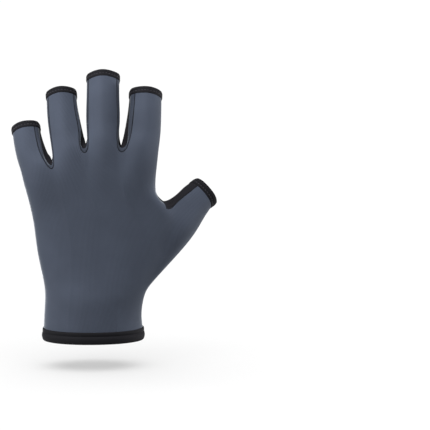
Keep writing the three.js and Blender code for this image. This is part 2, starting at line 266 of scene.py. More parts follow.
ROW_POINTS = 2 * len(COLUMNS) + 2
START_RADIUS = 36 * MM
put_down()
wrist = (0, 0, CUFF_END[2] * MM)
bpy.ops.mesh.primitive_circle_add(vertices=ROW_POINTS, radius=START_RADIUS, location=wrist)
skin = bpy.context.object
skin.name = "skin"
bpy.ops.object.transform_apply(location=True)
pick_up(skin, "VERT")
cuff_row = list(range(len(skin.data.vertices)))
drag(skin, cuff_row, row_places(ROWS[-1]))
rings = [cuff_row]
for row in reversed(ROWS[:-1]):
    rings.append(extrude_ring(skin, rings[-1], row_places(row), row_panel))
print(len(rings), "rings up to the palm's top")

# %% [markdown]
# The knuckle row has to be shared by four finger tubes, so its points are the corners of the
# finger roots: three on the back and three on the palm of each finger, and one on each outer side
# of the hand. Between two fingers the back and the palm are then bridged, with one cut across,
# which makes the web and leaves an open ring for each finger.
#
# The row's points are counted from the index finger's outer side, which is 0. The back takes 1 to
# 12, the little finger's outer side is 13, and the palm takes 14 to 25 on the way back.

# %% The knuckles and the webs
def web_side(web, sign):
    back_x = web["x"] + sign * web["width"] / 2
    mid_x = web["x"] + sign * web["width"] * WEB_MID_SHARE
    crest_x = web["crest_x"] + sign * WEB_CREST_HALF
    return {
        "back": Vector((back_x, WEB_DEPTHS["back"], web["back_z"])),
        "mid": Vector((mid_x, WEB_DEPTHS["mid"], web["mid_z"])),
        "palm": Vector((crest_x, WEB_DEPTHS["palm"], web["crest_z"])),
    }


def hand_side(side, sign):
    inner = side["x"] - sign * side["inset"]
    return {
        "back": Vector((inner, side["back"], side["z"])),
        "mid": Vector((side["x"], side["y"], side["z"])),
        "palm": Vector((inner, side["palm"], side["z"])),
    }


lefts = [hand_side(LITTLE_SIDE, -1)] + [web_side(web, 1) for web in WEBS]
rights = [web_side(web, -1) for web in WEBS] + [hand_side(INDEX_SIDE, 1)]


def root_places(i, part, depth):
    middle = (lefts[i][part] + rights[i][part]) / 2
    middle.y = depth
    return [rights[i][part], middle, lefts[i][part]]


def are_joined(mesh, a, b):
    return mesh.edges.get((mesh.verts[a], mesh.verts[b])) is not None


places = [rights[-1]["mid"]]
for i in reversed(range(4)):
    places += root_places(i, "back", -KNUCKLES[i]["back"])
places.append(lefts[0]["mid"])
for i in range(4):
    places += reversed(root_places(i, "palm", KNUCKLES[i]["palm"]))
knuckles = extrude_ring(skin, rings[-1], places, row_panel)

web_mids = []
for i in range(3):
    back_edge = (knuckles[10 - 3 * i], knuckles[9 - 3 * i])
    palm_edge = (knuckles[16 + 3 * i], knuckles[17 + 3 * i])
    select_edges(skin, [back_edge, palm_edge])
    bpy.ops.mesh.bridge_edge_loops(number_cuts=1, interpolation="LINEAR")
    mesh = edit_mesh(skin)
    mesh.verts.index_update()
    newest = [vert.index for vert in mesh.verts][-2:]
    mids = sorted(newest, key=lambda mid: not are_joined(mesh, back_edge[0], mid))
    web_mids.append(mids)
    panel_of[frozenset((*back_edge, *mids))] = f"strip {i}"
    panel_of[frozenset((*palm_edge, *mids))] = "palm"
    drag(skin, mids, [rights[i]["mid"], lefts[i + 1]["mid"]])
print("Webs:", web_mids)

# %% [markdown]
# Each finger grows out of its open ring in three extrusions along a gentle curve, which leaves the
# hand in the direction of its root and bends to the palm. The two back seams lie a little up
# each side, so their angles come from the table. Below them the narrow strip takes over, and
# where it ends the black cloth of the palm begins.

# %% The fingers
FINGER_STEPS = 3
ROOT_CURL = 8
BACK_ANGLE = 90
PALM_ANGLES = (218, 270, 322)


def turned(centre, width_way, depth_way, half, deep, angles):
    return [
        centre
        + width_way * (half * math.cos(math.radians(angle)))
        + depth_way * (deep * math.sin(math.radians(angle)))
        for angle in angles
    ]


def pointing(splay, curl):
    way = Vector((math.tan(math.radians(splay)), math.tan(math.radians(curl)), 1))
    return way.normalized()


def on_curve(a, b, c, d, t):
    place = a * (1 - t) ** 3 + b * 3 * t * (1 - t) ** 2 + c * 3 * t**2 * (1 - t) + d * t**3
    way = (b - a) * (1 - t) ** 2 + (c - b) * 2 * t * (1 - t) + (d - c) * t**2
    return place, way.normalized()


def finger_angles(i, share):
    seam = FINGER_ENDS[i]["seam"]
    under = KNUCKLES[i]["under"] * (1 - share**2)
    inner = under if i < 3 else 0
    outer = 180 - under if i > 0 else 180
    twist = mix(KNUCKLES[i]["twist"], FINGER_ENDS[i]["twist"], share)
    angles = (inner, seam, BACK_ANGLE, 180 - seam, outer, *PALM_ANGLES)
    return [angle + twist for angle in angles]


def finger_panel(i):
    names = {0: f"strip {i}" if i < 3 else "back", 1: "back", 2: "back"}
    names[3] = f"strip {i - 1}" if i > 0 else "back"
    return lambda side: names.get(side, "palm")


rims = {}
for i, (root, tip) in enumerate(zip(KNUCKLES, FINGER_ENDS)):
    back = [knuckles[k - 3 * i] for k in (10, 11, 12)]
    palm = [knuckles[k + 3 * i] for k in (14, 15, 16)]
    right_mid = web_mids[i][0] if i < 3 else knuckles[0]
    left_mid = web_mids[i - 1][1] if i > 0 else knuckles[13]
    ring = [right_mid, *back, left_mid, *palm]
    start = Vector((root["x"], (root["palm"] - root["back"]) / 2, root["z"]))
    end = Vector((tip["x"], tip["y"], tip["z"]))
    reach = (end - start).length / 3
    leaves = start + pointing(root["splay"], ROOT_CURL) * reach
    arrives = end - pointing(tip["splay"], tip["curl"]) * reach
    for step in range(1, FINGER_STEPS + 1):
        share = step / FINGER_STEPS
        centre, way = on_curve(start, leaves, arrives, end, share)
        across = Vector((0, 1, 0)).cross(way).normalized()
        half = mix(root["half"], tip["half"], share)
        deep = mix(root["back"], tip["deep"], share)
        angles = finger_angles(i, share)
        places = turned(centre, across, across.cross(way), half, deep, angles)
        ring = extrude_ring(skin, ring, places, finger_panel(i))
    rims[i] = ring
print("Finger rims:", rims)

# %% [markdown]
# The thumb leaves the side of the hand. The eight edges round one point of that side are extruded
# like a finger's ring, and then the point itself is deleted with its four faces, which opens the
# hand into the thumb. The web point at the top is dragged out to where the hand's outline turns.

# %% The thumb
THUMB_ANGLES = (0, 45, 90, 135, 180, 215, 255)
top, middle, bottom = rings[-2], rings[-3], rings[-4]
drag(skin, [top[0]], [Vector(THUMB_WEB)])
ring = [top[0], top[-1], middle[-1], bottom[-1], bottom[0], bottom[1], middle[1], top[1]]
for row in THUMB:
    inner = Vector((row["inner_x"], row["y"], row["inner_z"]))
    outer = Vector((row["outer_x"], row["y"], row["outer_z"]))
    across = (inner - outer).normalized()
    along = across.cross(Vector((0, -1, 0)))
    lean = math.radians(row["lean"])
    out_of_palm = Vector((0, math.cos(lean), 0)) - along * math.sin(lean)
    angles = (*THUMB_ANGLES, 360 - row["strip"])
    half = (inner - outer).length / 2
    places = turned((inner + outer) / 2, across, out_of_palm, half, row["deep"], angles)
    ring = extrude_ring(skin, ring, places, lambda side: "back" if 4 <= side <= 6 else "palm")

PANELS = ("back", "palm", "strip 0", "strip 1", "strip 2")
mesh = edit_mesh(skin)
for face in mesh.faces:
    face.material_index = PANELS.index(panel_of[frozenset(v.index for v in face.verts)])
bpy.ops.mesh.select_all(action="DESELECT")
edit_mesh(skin).verts[middle[0]].select_set(True)
bpy.ops.mesh.delete(type="VERT")
bpy.ops.mesh.select_all(action="SELECT")
bpy.ops.mesh.normals_make_consistent(inside=False)
put_down()
print(count(skin))

# %% [markdown]
# A subdivision surface shrinks its cage, so a glove modelled at its true size would come out too
# slim. The cage is therefore let out: each point moves by how far the smooth surface misses the
# point's own place, and a few rounds bring the surface through every place in the tables.

# %% Letting the cage out to its true size
FITTING_ROUNDS = 8
targets = [vert.co.copy() for vert in skin.data.vertices]
smooth = skin.modifiers.new("Smooth", "SUBSURF")
smooth.levels = smooth.render_levels = 1
for _ in range(FITTING_ROUNDS):
    depsgraph = bpy.context.evaluated_depsgraph_get()
    reached = skin.evaluated_get(depsgraph).data.vertices
    misses = [target - reached[k].co for k, target in enumerate(targets)]
    for vert, miss in zip(skin.data.vertices, misses):
        vert.co += miss
    skin.data.update()
print("Largest miss in the last round:", round(max(m.length for m in misses) / MM, 3), "mm")
skin.modifiers.remove(smooth)

# %% [markdown]
# The knit's lines follow the cloth, so the pattern needs a flat map of each panel, as a maker's
# paper pattern is. A projection from the front would smear down the sides of the fingers. The
# cage is marked along the borders of its panels and unwrapped while it is still light, and the
# map is then turned and scaled so that one unit is one metre and its height runs up the hand.

# %% Flat maps of the panels
pick_up(skin, "EDGE")
for edge in edit_mesh(skin).edges:
    edge.select_set(len({face.material_index for face in edge.link_faces}) > 1)
bmesh.update_edit_mesh(skin.data)
bpy.ops.mesh.mark_seam()
bpy.ops.mesh.select_all(action="SELECT")
bpy.ops.uv.unwrap(method="ANGLE_BASED", margin=0.01)
put_down()


def flat_area(corners):
    return sum(a.x * b.y - a.y * b.x for a, b in zip(corners, corners[1:] + corners[:1])) / 2


def straighten_map(piece, panel):
    chart = piece.data.uv_layers.active.data
    faces = [face for face in piece.data.polygons if face.material_index == panel]
    outward = sum((face.normal * face.area for face in faces), Vector())
    right = -1 if outward.y > 0 else 1
    loops = [k for face in faces for k in face.loop_indices]
    map_middle = sum((chart[k].uv for k in loops), Vector((0, 0))) / len(loops)
    spots = {k: piece.data.vertices[piece.data.loops[k].vertex_index].co for k in loops}
    middle = sum(spots.values(), Vector()) / len(loops)
    along = across = 0
    for k in loops:
        u, v = chart[k].uv - map_middle
        x, z = right * (spots[k].x - middle.x), spots[k].z - middle.z
        along += u * x + v * z
        across += u * z - v * x
    turn = Matrix.Rotation(math.atan2(across, along), 2)
    covered = sum(flat_area([chart[k].uv for k in face.loop_indices]) for face in faces)
    scale = math.sqrt(sum(face.area for face in faces) / abs(covered))
    for k in loops:
        chart[k].uv = turn @ (chart[k].uv - map_middle) * scale


for panel, name in enumerate(PANELS):
    straighten_map(skin, panel)
    print(name, "is mapped flat")

# %% [markdown]
# Now the surface is rounded off for good with three subdivisions, which is about one face for
# every millimetre of cloth. The edges of the openings are copied before the panels are cut,
# because each hem will be made from the very edge that it is sewn to.

# %% Rounding the skin and copying the edges of its openings
LEVELS = 3


def cut_from_skin():
    return [o for o in bpy.data.objects if o.name.startswith("skin") and o != skin]


def middle_of(piece):
    return sum((vert.co for vert in piece.data.vertices), Vector()) / len(piece.data.vertices)


apply_modifier(skin, "SUBSURF", levels=LEVELS, render_levels=LEVELS)
pick_up(skin, "EDGE")
bpy.ops.mesh.select_non_manifold()
bpy.ops.mesh.duplicate()
bpy.ops.mesh.separate(type="SELECTED")
put_down()
pick_up(cut_from_skin()[0], "EDGE")
bpy.ops.mesh.separate(type="LOOSE")
put_down()

HEM_NAMES = ("little_finger", "ring_finger", "middle_finger", "index_finger", "thumb", "cuff")
HEM_ENDS = [Vector((tip["x"], tip["y"], tip["z"])) * MM for tip in FINGER_ENDS]
HEM_ENDS += [Vector(THUMB_END) * MM, Vector(CUFF_END) * MM]
openings = cut_from_skin()
hem_edges = {}
for name, end in zip(HEM_NAMES, HEM_ENDS):
    hem_edges[name] = min(openings, key=lambda o: (middle_of(o) - end).length)
    hem_edges[name].name = f"{name}_edge"
print(count(skin), "and openings", {name: len(o.data.vertices) for name, o in hem_edges.items()})

# %% [markdown]
# The smooth skin is cut into its panels of cloth. On the real glove the edges of two panels turn
# in together and are sewn inside, which shows as a fine rounded groove. A dark painted line would
# look flat from the side, so each panel gets a narrow border by an inset, its outer edge is
# pushed inwards, and the cloth's thickness is added last, on the inside. The faces are numbered by
# what they will wear: the cloth is 0, the seam's thread on the border is 1 and the lining is 2.

# %% Cutting the panels and turning in their edges
CLOTH = 1.2 * MM
SEAM_BORDER = 0.35 * MM
SEAM_DEPTH = 0.45 * MM
# Edges that turn by more degrees than this stay sharp.
SHARP_CLOTH, SHARP_HEM = 40, 60


def separate_panel(name, place):
    pick_up(skin, "FACE")
    for face in edit_mesh(skin).faces:
        face.select_set(face.material_index == place)
    bmesh.update_edit_mesh(skin.data)
    bpy.ops.mesh.separate(type="SELECTED")
    piece = next(o for o in bpy.context.selected_objects if o != skin)
    piece.name = piece.data.name = name
    return piece


def turn_in_edges(piece):
    pick_up(piece, "FACE")
    bpy.ops.mesh.select_all(action="SELECT")
    bpy.ops.mesh.inset(thickness=SEAM_BORDER, use_boundary=True, use_even_offset=False)
    for face in edit_mesh(piece).faces:
        face.material_index = 0 if face.select else 1
    bpy.ops.mesh.select_all(action="DESELECT")
    bpy.ops.mesh.select_mode(type="EDGE")
    bpy.ops.mesh.select_non_manifold()
    bpy.ops.transform.shrink_fatten(value=-SEAM_DEPTH)
    put_down()


def thicken(piece, thickness, offset=-1.0):
    apply_modifier(piece, "SOLIDIFY", thickness=thickness, offset=offset)


def smooth_by_angle(piece, degrees):
    pick_up(piece)
    bpy.ops.object.shade_smooth_by_angle(angle=math.radians(degrees))
    put_down()


PIECES = (
    "back_cloth", "palm_cloth", "strip_little_ring", "strip_ring_middle", "strip_middle_index",
)
cloths = {name: separate_panel(name, place) for place, name in enumerate(PIECES)}
put_down()
bpy.data.objects.remove(skin)
for piece in cloths.values():
    turn_in_edges(piece)
    shown = len(piece.data.polygons)
    thicken(piece, CLOTH)
    for face in piece.data.polygons[shown : 2 * shown]:
        face.material_index = 2
    smooth_by_angle(piece, SHARP_CLOTH)
    print(count(piece))

# %% [markdown]
# A hem is a ribbed band folded over the cloth's edge. It could be a torus, but the openings
# aren't round, so the copied edge is extruded along the finger's axis in small steps. Each ring of
# points then swells or shrinks by the amount that its step of the profile says, which gives the
# rounded top and the sewn groove. A thickness and a bevel make the fold. The map of a hem is
# simple: the way round and the way along. The groove's own path is kept for the stitches.

# %% The hems
def hem_way(name):
    if name == "cuff":
        return Vector((0, 0, -1))
    if name == "thumb":
        last = THUMB[-1]
        rim = Vector((last["inner_x"] - last["outer_x"], 0, last["inner_z"] - last["outer_z"]))
        return rim.cross(Vector((0, -1, 0))).normalized()
    tip = FINGER_ENDS[HEM_NAMES.index(name)]
    return pointing(tip["splay"], tip["curl"])


def ring_order(piece):
    joined = {vert.index: [] for vert in piece.data.vertices}
    for edge in piece.data.edges:
        a, b = edge.vertices
        joined[a].append(b)
        joined[b].append(a)
    ring = [0, joined[0][0]]
    while len(ring) < len(joined):
        ring.append(next(k for k in joined[ring[-1]] if k != ring[-2]))
    return ring


def map_round(piece, ring, way):
    spots = [piece.data.vertices[k].co.copy() for k in ring]
    steps = [(b - a).length for a, b in zip(spots, spots[1:] + spots[:1])]
    around = [sum(steps[:k]) for k in range(len(ring))]
    middle = sum(spots, Vector()) / len(spots)
    chart = piece.data.uv_layers.new(name="UVMap").data
    near = {}
    for vert in piece.data.vertices:
        height = (vert.co - middle).dot(way)
        base = vert.co - way * height
        flat = [(spot - way * (spot - middle).dot(way) - base).length for spot in spots]
        near[vert.index] = (around[flat.index(min(flat))], height)
    for face in piece.data.polygons:
        marks = [near[piece.data.loops[k].vertex_index] for k in face.loop_indices]
        high = max(u for u, v in marks)
        for k, (u, v) in zip(face.loop_indices, marks):
            if high - u > sum(steps) / 2:
                u += sum(steps)
            chart[k].uv = (u, v)
    return sum(steps)


def make_hem(name, edge, profile, thickness, proud, rounding):
    ring = ring_order(edge)
    size = len(ring)
    way = hem_way(name)
    pick_up(edge, "EDGE")
    bpy.ops.mesh.select_all(action="SELECT")
    bpy.ops.transform.translate(value=way * profile[0][0] * MM)
    for (low, _), (high, _) in zip(profile, profile[1:]):
        bpy.ops.mesh.extrude_edges_move(TRANSFORM_OT_translate={"value": way * (high - low) * MM})
    bpy.ops.mesh.select_all(action="SELECT")
    bpy.ops.mesh.normals_make_consistent(inside=False)
    bpy.ops.mesh.select_mode(type="VERT")
    for step, (_, out) in enumerate(profile):
        bpy.ops.mesh.select_all(action="DESELECT")
        verts = edit_mesh(edge).verts
        for place in range(size * step, size * (step + 1)):
            verts[place].select_set(True)
        bpy.ops.transform.shrink_fatten(value=out * MM)
    put_down()
    length = map_round(edge, ring, way)
    line = [edge.data.vertices[size * GROOVE + k] for k in ring]
    path = [(vert.co + vert.normal * proud * MM, vert.normal.copy()) for vert in line]
    thicken(edge, thickness * MM, 2 * proud / thickness - 1)
    limits = {"limit_method": "ANGLE", "angle_limit": math.radians(FOLD_ANGLE)}
    apply_modifier(edge, "BEVEL", width=rounding * MM, segments=3, **limits)
    edge.name = edge.data.name = f"{name}_binding"
    smooth_by_angle(edge, SHARP_HEM)
    print(count(edge), round(length / MM), "mm round")
    return edge, path


# Each pair of a profile is how far past the cloth's edge a step lies, and how far it swells, in
# millimetres. The sewn groove is the same step in both.
GROOVE = 3
FINGER_HEM = (
    (-1.0, -0.1), (0.0, 0.1), (0.7, 0.1), (1.2, -0.25), (1.7, 0.15), (2.9, 0.1), (4.5, -0.4),
)
CUFF_HEM = (
    (-1.0, 0.0), (0.2, 0.25), (1.3, 0.35), (2.2, -0.2), (3.0, 0.55),
    (4.3, 0.85), (5.5, 0.75), (6.8, 0.4), (8.2, -0.3),
)
# The band's thickness, how much of it stands proud of the profile, and the rounding of the edges
# where it folds by more degrees than the angle.
FINGER_SIZES = (2.1, 0.5, 0.9)
CUFF_SIZES = (2.6, 0.7, 1.1)
FOLD_ANGLE = 80
hems = {}
stitch_lines = {}
for name, edge in hem_edges.items():
    shape = (CUFF_HEM, *CUFF_SIZES) if name == "cuff" else (FINGER_HEM, *FINGER_SIZES)
    hems[name], stitch_lines[name] = make_hem(name, edge, *shape)

# %% [markdown]
# A row of stitches holds each hem down in its groove. One stitch is a short rounded thread, made
# from a cylinder whose ends are bevelled. Copies of it follow the groove at even steps, each with
# its own mesh, and are joined into one piece for each hem.

# %% The hems' stitches
STITCH_LENGTH = 1.5 * MM
STITCH_WIDTH = 0.6 * MM
STITCH_PITCH = 2.3 * MM


def make_stitch(length, width):
    put_down()
    bpy.ops.mesh.primitive_cylinder_add(vertices=6, radius=width / 2, depth=length)
    stitch = bpy.context.object
    pick_up(stitch, "FACE")
    # The two caps are the faces that point along the thread.
    for face in edit_mesh(stitch).faces:
        face.select_set(abs(face.normal.z) > 0.9)
    bmesh.update_edit_mesh(stitch.data)
    bpy.ops.mesh.bevel(offset=width * 0.3, segments=1, affect="EDGES")
    put_down()
    return stitch


def even_marks(path, pitch):
    spots = [place for place, _ in path]
    steps = [(b - a).length for a, b in zip(spots, spots[1:] + spots[:1])]
    number = round(sum(steps) / pitch)
    marks = []
    here, passed = 0, 0.0
    for k in range(number):
        goal = sum(steps) * k / number
        while passed + steps[here] < goal:
            passed += steps[here]
            here += 1
        (a, out), (b, _) = path[here], path[(here + 1) % len(path)]
        marks.append((a.lerp(b, (goal - passed) / steps[here]), (b - a).normalized(), out))
    return marks


def standing(place, along, out):
    side = along.cross(out).normalized()
    up = side.cross(along)
    turn = Matrix((up, side, along)).transposed().to_4x4()
    return Matrix.Translation(place) @ turn


def copy_to(pattern, spots, name):
    put_down()
    for spot in spots:
        twin = pattern.copy()
        twin.data = pattern.data.copy()
        twin.matrix_world = spot
        bpy.context.collection.objects.link(twin)
        twin.select_set(True)
        bpy.context.view_layer.objects.active = twin
    bpy.ops.object.join()
    bpy.ops.object.transform_apply(location=True, rotation=True, scale=True)
    row = bpy.context.object
    row.name = row.data.name = name
    put_down()
    return row


stitch = make_stitch(STITCH_LENGTH, STITCH_WIDTH)
stitches = {}
for name, path in stitch_lines.items():
    marks = even_marks(path, STITCH_PITCH)
    stitches[name] = copy_to(stitch, [standing(*mark) for mark in marks], f"{name}_stitches")
    smooth_by_angle(stitches[name], SHARP_HEM)
    print(count(stitches[name]), len(marks), "stitches")
bpy.data.objects.remove(stitch)

# %% [markdown]
# The palm of such a glove has a raised silicone print for grip. Its own drawing is left out, and a
# plain print of the same colours and size stands there: straight staggered rows of six-sided
# cells, each an outline with a small pad in its middle. A bump in the cloth's material would look
# flat from the side, so one cell is modelled from a circle by an inset. The palm's own field stops
# at the finger roots, and a narrow row runs on up each finger. A ray finds where the palm lies
# under each place, and cells that would reach over an edge or a fold are left out.

# %% One cell of the grip print
CELL_RADIUS = 3.1 * MM
# The cut of its corners, the outline's width, the gap's width and how near the gap's faces come to
# the middle, all as shares of the radius.
CUT, OUTLINE, GAP, GAP_REACH = 0.3, 0.26, 0.30, 0.55


def make_cell(radius):
    put_down()
    bpy.ops.mesh.primitive_circle_add(vertices=6, radius=radius, fill_type="NGON")
    cell = bpy.context.object
    pick_up(cell, "VERT")
    bpy.ops.mesh.select_all(action="SELECT")
    bpy.ops.mesh.bevel(offset=radius * CUT, segments=1, affect="VERTICES")
    bpy.ops.mesh.select_mode(type="FACE")
    bpy.ops.mesh.select_all(action="SELECT")
    bpy.ops.mesh.inset(thickness=radius * OUTLINE)
    bpy.ops.mesh.inset(thickness=radius * GAP)
    for face in edit_mesh(cell).faces:
        reach = min(vert.co.length for vert in face.verts)
        face.material_index = 1 if len(face.verts) > 4 else 0
        face.select_set(len(face.verts) == 4 and reach < radius * GAP_REACH)
    bmesh.update_edit_mesh(cell.data)
    bpy.ops.mesh.delete(type="FACE")
    put_down()
    return cell


cell = make_cell(CELL_RADIUS)
print(count(cell))

# %% The places of the cells
# The columns are counted to each side of the middle. The print keeps off the hems and the thumb.
ROW_STEP = 5.7 * MM
COLUMN_STEP = 6.6 * MM
HALF_ROW = 9
FINGER_ROWS = 7
BARE_ENDS = 19 * MM
THUMB_ROOT = 50 * MM
FIELD = (14 * MM, 118 * MM)
# A ray starts in front of the palm. Within its reach a cell needs cloth that faces the ray and has
# no deep fold.
RAY_START = 0.06
LEAST_FACING = 0.62
DEEPEST_FOLD = 1.5 * MM
CELL_REACH = 1.3 * CELL_RADIUS
palm = cloths["palm_cloth"]
corners = [(math.cos(turn), math.sin(turn)) for turn in map(math.radians, range(0, 360, 60))]


def palm_spot(x, z):
    hit, place, normal, _ = palm.ray_cast(Vector((x, RAY_START, z)), Vector((0, -1, 0)))
    return (place, normal) if hit and normal.y > LEAST_FACING else None


def cell_spot(x, z):
    spot = palm_spot(x, z)
    around = [palm_spot(x + right * CELL_REACH, z + up * CELL_REACH) for right, up in corners]
    if spot is None or None in around:
        return None
    fold = max(abs((place - spot[0]).dot(spot[1])) for place, _ in around)
    bare = any((spot[0] - end).length < BARE_ENDS for end in HEM_ENDS[:-1])
    return None if fold > DEEPEST_FOLD or x > THUMB_ROOT or bare else spot


def field_spots():
    rows = int((FIELD[1] - FIELD[0]) / ROW_STEP)
    for row in range(rows + 1):
        for column in range(-HALF_ROW, HALF_ROW + 1):
            yield cell_spot((column + row % 2 / 2) * COLUMN_STEP, FIELD[0] + row * ROW_STEP)


def finger_spots(root, tip):
    foot, top = (Vector((end["x"], 0, end["z"])) * MM for end in (root, tip))
    up = (top - foot).normalized()
    side = Vector((up.z, 0, -up.x))
    for row in range(1, FINGER_ROWS + 1):
        for column in (-0.5, 0.5) if row % 2 else (0,):
            place = foot + up * row * ROW_STEP + side * column * COLUMN_STEP
            if place.z > FIELD[1] + ROW_STEP / 2:
                yield cell_spot(place.x, place.z)


spots = list(field_spots())
for root, tip in zip(KNUCKLES, FINGER_ENDS):
    spots += finger_spots(root, tip)
spots = [spot for spot in spots if spot]
print(len(spots), "cells fit on the palm")

# %% Laying the print on the palm
PRINT_HEIGHT = 0.4 * MM
PRINT_LIFT = 0.02 * MM

# Joining drops the faces' numbers where there are no slots for them, so two empty materials hold
# them until the print is dressed.
for material_name in ("outline", "pad"):
    cell.data.materials.append(bpy.data.materials.new(material_name))
stands = [standing(place, normal, Vector((1, 0, 0))) for place, normal in spots]
grip = copy_to(cell, stands, "grip_print")
bpy.data.objects.remove(cell)
apply_modifier(grip, "SHRINKWRAP", target=palm, wrap_mode="ABOVE_SURFACE", offset=PRINT_LIFT)
thicken(grip, PRINT_HEIGHT, 1.0)
put_down()
print(count(grip))

# %% [markdown]
# Both cloths are a fine stretch knit. Its columns of V-shaped stitches are too small to model, so
# the material draws them on the panel's flat map, which makes them follow the cloth round the
# fingers. The relief is reckoned with a few Math nodes: rounded columns, and legs that lean to
# both sides of each column's middle. It gives the bump, a rougher crown, and a darker groove whose
# colour is painted shade.

# %% The knit's relief
def new_finish(name, sockets):
    material = bpy.data.materials.new(name)
    material.use_nodes = True
    tree = material.node_tree
    shader = tree.nodes["Principled BSDF"]
    for socket, value in sockets.items():
        shader.inputs[socket].default_value = value
    return material, tree, shader


def reckon(tree, operation, *terms):
    step = tree.nodes.new("ShaderNodeMath")
    step.operation = operation
    for socket, term in zip(step.inputs, terms):
        if isinstance(term, (int, float)):
            socket.default_value = term
        else:
            tree.links.new(term, socket)
    return step.outputs[0]


# The legs make this share of the relief, and the rounded columns the rest.
LEG_SHARE = 0.4


def humps(tree, place):
    wave = reckon(tree, "SINE", reckon(tree, "MULTIPLY", place, math.pi))
    return reckon(tree, "ABSOLUTE", wave)


def knit_relief(tree, wale, course):
    chart = tree.nodes.new("ShaderNodeUVMap")
    chart.uv_map = "UVMap"
    split = tree.nodes.new("ShaderNodeSeparateXYZ")
    tree.links.new(chart.outputs["UV"], split.inputs["Vector"])
    across = reckon(tree, "DIVIDE", split.outputs["X"], wale)
    along = reckon(tree, "DIVIDE", split.outputs["Y"], course)
    lean = reckon(tree, "ABSOLUTE", reckon(tree, "SUBTRACT", reckon(tree, "FRACT", across), 0.5))
    columns = humps(tree, across)
    legs = humps(tree, reckon(tree, "ADD", along, lean))
    raised = reckon(tree, "MULTIPLY_ADD", legs, LEG_SHARE, 1 - LEG_SHARE)
    return reckon(tree, "MULTIPLY", columns, raised)


# %% [markdown]
# The yarn's colour varies a little in soft patches, as dyed cloth does. The patches come from a
# noise on Object coordinates. A sheen on the shader's own sockets gives the pale, velvety edge
# that brushed cloth has where it turns away.

# %% Finishes of the cloths and the hems
def patches(tree, size, detail=2.0):
    place = tree.nodes.new("ShaderNodeTexCoord")
    noise = tree.nodes.new("ShaderNodeTexNoise")
    noise.inputs["Scale"].default_value = 1 / size
    noise.inputs["Detail"].default_value = detail
    tree.links.new(place.outputs["Object"], noise.inputs["Vector"])
    return noise.outputs["Fac"]


def colour_by(tree, share, dark, light):
    ramp = tree.nodes.new("ShaderNodeValToRGB")
    ramp.color_ramp.elements[0].color = (*dark, 1)
    ramp.color_ramp.elements[1].color = (*light, 1)
    tree.links.new(share, ramp.inputs["Fac"])
    return ramp.outputs["Color"]


def raise_by(tree, shader, height, depth, strength):
    bump = tree.nodes.new("ShaderNodeBump")
    bump.inputs["Distance"].default_value = depth
    bump.inputs["Strength"].default_value = strength
    tree.links.new(height, bump.inputs["Height"])
    tree.links.new(bump.outputs["Normal"], shader.inputs["Normal"])


CLOUD_SIZE = 22 * MM
CLOUD_SHARE = 0.45
ROUGH_GROOVE, ROUGHER_CROWN = 0.74, 0.12
SHEEN_TINT = (0.85, 0.91, 1.0, 1)
LOOP_DEPTH = 0.06 * MM


def knit(name, dark, light, wale, course, gloss, sheen):
    material, tree, shader = new_finish(name, {
        "Specular IOR Level": gloss,
        "Sheen Weight": sheen,
        "Sheen Roughness": 0.3,
        "Sheen Tint": SHEEN_TINT,
    })
    relief = knit_relief(tree, wale * MM, course * MM)
    cloudy = reckon(tree, "MULTIPLY", patches(tree, CLOUD_SIZE), CLOUD_SHARE)
    # The relief darkens the groove as painted shade, and the patches are the yarn's own tone.
    share = reckon(tree, "MULTIPLY_ADD", relief, 1 - CLOUD_SHARE, cloudy)
    tree.links.new(colour_by(tree, share, dark, light), shader.inputs["Base Color"])
    rough = reckon(tree, "MULTIPLY_ADD", relief, ROUGHER_CROWN, ROUGH_GROOVE)
    tree.links.new(rough, shader.inputs["Roughness"])
    raise_by(tree, shader, relief, depth=LOOP_DEPTH, strength=0.55)
    return material


# The colours are the groove's and the crown's; the groove's darker colour is painted shade in the
# stitches' hollows. A wale is one stitch's width and a course is its height, both in millimetres.
KNITS = table(
    "name dark light wale course gloss sheen",
    ("grey knit", (0.037, 0.045, 0.065), (0.085, 0.103, 0.146), 0.9, 0.8, 0.24, 0.90),
    # The strips' knit is the grey knit darkened: painted shade for the narrow gaps between the
    # fingers.
    ("dark grey knit", (0.024, 0.029, 0.042), (0.056, 0.068, 0.097), 0.9, 0.8, 0.20, 0.75),
    ("black knit", (0.008, 0.008, 0.010), (0.020, 0.019, 0.024), 0.9, 0.8, 0.12, 0.025),
    ("black lining", (0.012, 0.012, 0.015), (0.030, 0.029, 0.036), 1.2, 1.0, 0.20, 0.04),
    ("black rib", (0.008, 0.008, 0.010), (0.021, 0.020, 0.025), 1.1, 0.7, 0.12, 0.06),
)
GREY_KNIT, STRIP_SHADED_KNIT, BLACK_KNIT, LINING, RIBBED = (knit(**row) for row in KNITS)
print("Knits:", [row["name"] for row in KNITS])

# %% [markdown]
# Thread and silicone don't follow a map. The sewing thread is nearly black with a fine fuzz. The
# print is smooth, slightly glossy silicone in blues that shift from dark to light over the palm.

# %% Finishes of the thread and the print
GRAIN_DEPTH = 0.03 * MM
GRAIN_ROUGHER = 0.2


def blend_finish(name, dark, light, size, roughness, gloss, grain):
    material, tree, shader = new_finish(name, {"Specular IOR Level": gloss})
    # A noise keeps near to 0.5, so it is spread out around that before it picks the colour.
    share = reckon(tree, "MULTIPLY_ADD", patches(tree, size * MM), 3.0, -1.0)
    tree.links.new(colour_by(tree, share, dark, light), shader.inputs["Base Color"])
    fine = patches(tree, grain * MM, detail=3.0)
    rough = reckon(tree, "MULTIPLY_ADD", fine, GRAIN_ROUGHER, roughness)
    tree.links.new(rough, shader.inputs["Roughness"])
    raise_by(tree, shader, fine, depth=GRAIN_DEPTH, strength=0.4)
    return material


